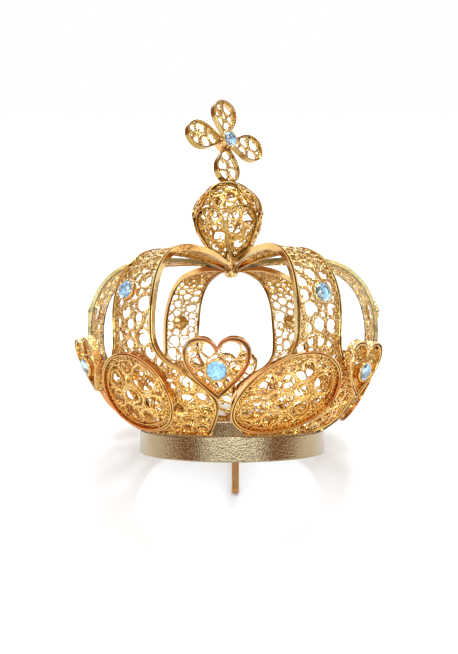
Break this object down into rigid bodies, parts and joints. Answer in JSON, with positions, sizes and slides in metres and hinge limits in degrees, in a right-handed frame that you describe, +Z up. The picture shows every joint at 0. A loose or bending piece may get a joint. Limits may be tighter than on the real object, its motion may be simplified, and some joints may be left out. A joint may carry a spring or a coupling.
{
  "type": "statue crown",
  "caption": "Closed filigree crown for a statue, with arches over an open hollow, hearts, raised petals, an orb and a cross, and a peg under its plain band.",
  "frame": {"origin": "on the table, under the middle of the crown's bounding box, with the crown leaning back at rest on its peg and the back of its band", "axes": "+Z up from the table; -Y the crown's front, which leans back towards +Y; +X to the viewer's right from the front"},
  "size_m": [0.0816, 0.079, 0.0999],
  "materials": {
    "gilt_wire": "bright gilded filigree wire, polished on the edges",
    "gilt_sheet": "gilded sheet with a fine orange-peel texture",
    "blue_stone": "faceted clear pale blue glass"
  },
  "bodies": {
    "root": {"band": "gilt_sheet", "peg": "gilt_sheet", "arch_1": "gilt_wire", "arch_1_setting": "gilt_wire", "arch_1_stone": "blue_stone", "arch_2": "gilt_wire", "arch_2_setting": "gilt_wire", "arch_2_stone": "blue_stone", "arch_3": "gilt_wire", "arch_3_setting": "gilt_wire", "arch_3_stone": "blue_stone", "arch_4": "gilt_wire", "arch_4_setting": "gilt_wire", "arch_4_stone": "blue_stone", "arch_5": "gilt_wire", "arch_5_setting": "gilt_wire", "arch_5_stone": "blue_stone", "arch_6": "gilt_wire", "arch_6_setting": "gilt_wire", "arch_6_stone": "blue_stone", "petal_1": "gilt_wire", "petal_2": "gilt_wire", "petal_3": "gilt_wire", "petal_4": "gilt_wire", "petal_5": "gilt_wire", "petal_6": "gilt_wire", "heart_1": "gilt_wire", "heart_1_setting": "gilt_wire", "heart_1_stone": "blue_stone", "heart_2": "gilt_wire", "heart_2_setting": "gilt_wire", "heart_2_stone": "blue_stone", "heart_3": "gilt_wire", "heart_3_setting": "gilt_wire", "heart_3_stone": "blue_stone", "heart_4": "gilt_wire", "heart_4_setting": "gilt_wire", "heart_4_stone": "blue_stone", "heart_5": "gilt_wire", "heart_5_setting": "gilt_wire", "heart_5_stone": "blue_stone", "heart_6": "gilt_wire", "heart_6_setting": "gilt_wire", "heart_6_stone": "blue_stone", "orb": "gilt_wire", "cross": "gilt_wire", "cross_setting": "gilt_wire", "cross_stone": "blue_stone"}
  },
  "joints": []
}
